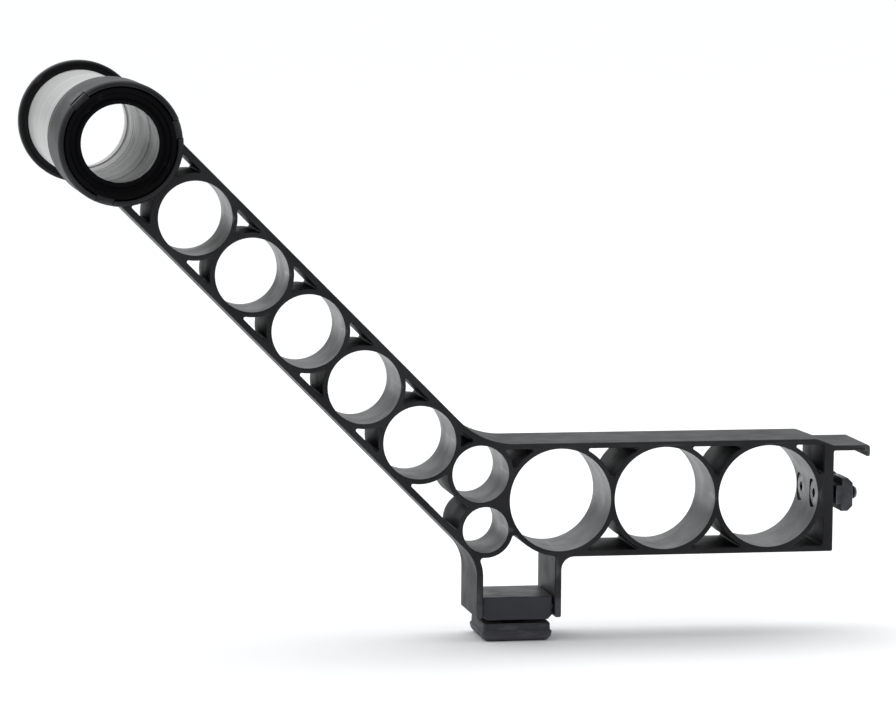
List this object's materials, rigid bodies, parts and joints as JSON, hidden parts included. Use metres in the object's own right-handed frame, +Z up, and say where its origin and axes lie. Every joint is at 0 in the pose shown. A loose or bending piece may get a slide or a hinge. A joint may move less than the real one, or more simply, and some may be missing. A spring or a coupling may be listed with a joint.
{
  "type": "spool holder stand",
  "caption": "Side-mounted filament spool holder: a moulded ring-lattice arm with a post foot, an end plate with a hooked lip, and an open tubular roller in its hub.",
  "frame": {"origin": "on the ground, at the middle of the foot pad's underside", "axes": "+X along the level part of the arm towards the mounting plate, +Y along the roller away from the arm's front, +Z up"},
  "size_m": [0.2255, 0.1101, 0.1543],
  "materials": {
    "arm_black": "satin moulded",
    "foot_plastic": "satin moulded",
    "foot_rubber": "matte",
    "tube_grey": "satin, finely ridged",
    "cap_black": "satin moulded",
    "bush_natural": "natural acetal",
    "washer_white": "smooth",
    "fastener_steel": "black oxide"
  },
  "bodies": {
    "stand": {"spool_arm": "arm_black", "foot_block": "foot_plastic", "foot_pad": "foot_rubber", "mount_screw_front": "fastener_steel", "mount_screw_rear": "fastener_steel", "slot_nut_front": "fastener_steel", "slot_nut_rear": "fastener_steel", "lock_ring": "cap_black", "front_bush": "bush_natural", "rear_bush": "bush_natural", "thrust_washer": "washer_white"},
    "roller": {"roller_tube": "tube_grey", "near_collar": "cap_black", "far_flange": "cap_black", "retaining_clip": "fastener_steel"}
  },
  "joints": [
    {"name": "roller_spin", "type": "hinge", "parent": "stand", "child": "roller", "pos_m": [-0.10922, 0, 0.13672], "axis": [0, 1, 0], "continuous": true}
  ]
}
